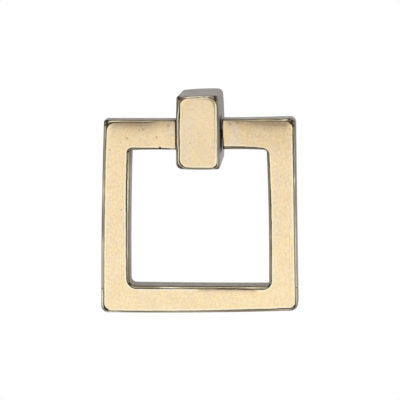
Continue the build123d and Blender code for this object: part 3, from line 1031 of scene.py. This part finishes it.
def cast_material(name, colours):
    """The worn two-tone metal: a mottled polished front, edge bands with a painted highlight and painted dark
    reflection, patina, stains, pits, oxide and painted shade.
    """
    material, tree, shader = new_material(name, {"Specular IOR Level": 0.15})
    tones = {tone: opaque(getattr(colours, tone)) for tone in (
        "polished", "rim", "stain_and_shade", "edge", "oxide", "edge_highlight", "patina", "patina_painted_lighter", "back_patina", "bloom")}

    def mark(attribute):
        return add(tree, "ShaderNodeAttribute", attribute_name=attribute).outputs["Fac"]

    stain_and_shade, pale = mark("stain_and_shade"), mark("pale")
    bloomed = mixed(tree, math_node(tree, "MULTIPLY", pale, 0.65), tones["polished"], tones["bloom"])
    face = placed(tree, "mottle", mottle_group, {
        "Color": mixed(tree, stain_and_shade, bloomed, tones["stain_and_shade"]), "Warmth": mark("warmth"),
        "Upright": mark("upright")})
    # pale mixes in the patina painted lighter, as light from the floor
    patina = mixed(tree, pale, tones["patina"], tones["patina_painted_lighter"])
    side = placed(tree, "cast_skin", cast_skin_group, {"Color": patina, "Amount": 0.8})
    back = placed(tree, "cast_skin", cast_skin_group, {"Color": tones["back_patina"], "Amount": 1.0})
    # A stained front has no bright rim
    rim = math_node(tree, "MAXIMUM", math_node(tree, "MULTIPLY_ADD", stain_and_shade, -2.0, 1.0), 0.0)
    # Paleness also paints the rounded edges lighter, towards the painted highlight's colour
    edge = mixed(tree, ranged(tree, pale, 0.3, 1.0), tones["edge"], tones["edge_highlight"])
    bands = placed(tree, "edge_bands", edge_bands_group, {
        "Travel": mark("travel"), "Spread": mark("spread"), "Near Line": mark("near"),
        "Highlight Line": mark("edge_highlight"), "Far Line": mark("far"), "Corner": mark("corner"), "Rim Amount": rim,
        "Face": face["Color"], "Rim": tones["rim"], "Edge": edge, "Highlight": tones["edge_highlight"],
        "Oxide": tones["oxide"], "Side": side["Color"], "Back": back["Color"]})
    # Pits and spots are oxide; the rest of this mark is painted shade over the arms' ends, in their bores and on
    # the post's sides beside them
    pits = math_node(tree, "MULTIPLY", mark("pit"), 0.75)
    ragged = math_node(tree, "MULTIPLY_ADD", noise(tree, 900.0, 2.0), 0.5, mark("oxide_spots_and_shade"))
    dark = math_node(tree, "MAXIMUM", pits, ranged(tree, ragged, 0.5, 0.85, 0.0, 0.95))
    tree.links.new(mixed(tree, dark, bands["Color"], tones["oxide"]), shader.inputs["Base Color"])
    # Oxide, the painted shade and the dark edge lines are rougher than the metal, and hardly metallic
    crust = math_node(tree, "MAXIMUM", dark, bands["Oxide"])
    tree.links.new(math_node(tree, "MULTIPLY_ADD", crust, -0.85, 1.0), shader.inputs["Metallic"])
    clean = ranged(tree, bands["Polish"], 0.0, 1.0, 0.58, 0.34)
    tree.links.new(math_node(tree, "MULTIPLY_ADD", crust, 0.15, clean), shader.inputs["Roughness"])
    height = between(tree, bands["Polish"], side["Height"], face["Height"])
    bump = add(tree, "ShaderNodeBump", {"Height": height, "Distance": 0.02 * MM, "Strength": 0.6})
    tree.links.new(bump.outputs["Normal"], shader.inputs["Normal"])
    return material


def pin_material(colours):
    """Drawn steel under brown oxide."""
    material, tree, shader = new_material(
        "browned_steel", {"Metallic": 0.4, "Specular IOR Level": 0.2, "Roughness": 0.55})
    streaks = noise(tree, 900.0, 3.0, stretch=(0.2, 1.0, 1.0))
    tone = ranged(tree, streaks, 0.3, 0.7, 0.7, 1.2)
    tree.links.new(multiplied(tree, opaque(colours.steel), tone), shader.inputs["Base Color"])
    return material


def floor_material():
    """A pale matt floor that the camera and reflections see as white."""
    material, tree, shader = new_material(
        "pale_floor", {"Base Color": (0.9, 0.9, 0.9, 1.0), "Roughness": 0.9})
    seen = add(tree, "ShaderNodeLightPath").outputs
    white = add(tree, "ShaderNodeEmission").outputs["Emission"]
    seen_white = math_node(tree, "MAXIMUM", seen["Is Camera Ray"], seen["Is Glossy Ray"])
    seen_white = math_node(tree, "MAXIMUM", seen_white, seen["Is Transmission Ray"])
    mix = add(tree, "ShaderNodeMixShader", {0: seen_white, 1: shader.outputs["BSDF"], 2: white})
    tree.links.new(mix.outputs["Shader"], tree.nodes["Material Output"].inputs["Surface"])
    return material


class PULL_OT_cast_post(bpy.types.Operator):
    """Adds the post's finished surface, with its threaded fixing hole"""

    bl_idname = "pull.cast_post"
    bl_label = "Cast Post"

    def execute(self, context):
        scene = context.scene
        rng = np.random.default_rng(scene.pull_studio.seed)
        rings, marks = post_rings(scene.pull_post, rng)
        post = tube_mesh("cast_post", rings, marks, cast_material("post_bronze", scene.pull_colours))
        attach(post, "mounting_post")
        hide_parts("post")
        return {"FINISHED"}


class PULL_OT_cast_ring(bpy.types.Operator):
    """Adds the ring's finished surface, with a bore in the end of each arm"""

    bl_idname = "pull.cast_ring"
    bl_label = "Cast Ring"

    def execute(self, context):
        scene = context.scene
        rng = np.random.default_rng(scene.pull_studio.seed + 1)
        rings, marks = ring_rings(scene.pull_ring, rng)
        ring = tube_mesh("cast_ring", rings, marks, cast_material("ring_bronze", scene.pull_colours))
        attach(ring, "drop_ring")
        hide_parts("ring")
        return {"FINISHED"}


class PULL_OT_pivot_pin(bpy.types.Operator):
    """Gives the pivot pin its steel"""

    bl_idname = "pull.pivot_pin"
    bl_label = "Pivot Pin"

    def execute(self, context):
        pin = frame["nodes"]["pivot_pin"]
        pin.data.materials.clear()
        pin.data.materials.append(pin_material(context.scene.pull_colours))
        return {"FINISHED"}


class PULL_OT_studio(bpy.types.Operator):
    """Adds the floor, the lamp, the white surroundings and the camera"""

    bl_idname = "pull.studio"
    bl_label = "Studio"

    def execute(self, context):
        scene = context.scene
        settings = scene.pull_studio
        middle = (cad_low + cad_high) / 2

        floor_mesh = bpy.data.meshes.new("floor")
        half, level = settings.floor_size / 2, middle.z - settings.floor_drop
        floor_mesh.from_pydata(
            [(-half, -half, level), (half, -half, level), (half, half, level), (-half, half, level)],
            [], [(0, 1, 2, 3)])
        floor_mesh.materials.append(floor_material())
        floor = linked("floor", floor_mesh)

        world = bpy.data.worlds.new("studio")
        world.use_nodes = True
        world.node_tree.nodes["Background"].inputs["Color"].default_value = WHITE
        world.node_tree.nodes["Background"].inputs["Strength"].default_value = 1.0
        scene.world = world

        lamp = bpy.data.lights.new("key_light", "AREA")
        lamp.energy = settings.key_power
        lamp.size = settings.key_size
        key = linked("key_light", lamp)
        key.location = middle + Vector(settings.key_place)
        key.rotation_euler = (middle - key.location).to_track_quat("-Z", "Y").to_euler()

        camera_data = bpy.data.cameras.new("camera")
        camera_data.lens = settings.lens
        camera = linked("camera", camera_data)
        azimuth, elevation = settings.azimuth, settings.elevation
        backwards = Vector((
            math.sin(azimuth) * math.cos(elevation), -math.cos(azimuth) * math.cos(elevation),
            math.sin(elevation)))
        aim = middle + Vector((-settings.aim_left, 0.0, settings.aim_up))
        rolled = Matrix.Rotation(settings.roll, 3, "Z").to_quaternion()
        camera.location = aim + backwards * settings.distance
        camera.rotation_euler = ((-backwards).to_track_quat("-Z", "Y") @ rolled).to_euler()
        scene.camera = camera
        scene.view_settings.view_transform = "Standard"
        return {"FINISHED"}


SETTINGS = {
    "pull_post": PostSizes, "pull_ring": RingSizes, "pull_colours": FinishColours,
    "pull_studio": StudioSettings}
STEPS = (PULL_OT_cast_post, PULL_OT_cast_ring, PULL_OT_pivot_pin, PULL_OT_studio)


class PULL_PT_sidebar(bpy.types.Panel):
    """The drop pull's sizes, colours and steps"""

    bl_idname = "PULL_PT_sidebar"
    bl_label = "Square Drop Pull"
    bl_space_type = "VIEW_3D"
    bl_region_type = "UI"
    bl_category = "Drop Pull"

    def draw(self, context):
        layout = self.layout
        for name in SETTINGS:
            group = getattr(context.scene, name)
            box = layout.box()
            for field in group.bl_rna.properties.keys():
                if field not in {"rna_type", "name"}:
                    box.prop(group, field)
        for step in STEPS:
            layout.operator(step.bl_idname)


classes = (*SETTINGS.values(), *STEPS, PULL_PT_sidebar)


def register():
    """Registers the classes and hangs their settings on the scene."""
    for item in classes:
        bpy.utils.register_class(item)
    for name, group in SETTINGS.items():
        setattr(bpy.types.Scene, name, PointerProperty(type=group))


def unregister():
    """Takes the settings and the classes away again."""
    for name in SETTINGS:
        delattr(bpy.types.Scene, name)
    for item in reversed(classes):
        bpy.utils.unregister_class(item)


def main():
    """Makes every piece and the studio."""
    register()
    bpy.ops.pull.cast_post()
    bpy.ops.pull.cast_ring()
    bpy.ops.pull.pivot_pin()
    bpy.ops.pull.studio()


if __name__ == "__main__":
    main()
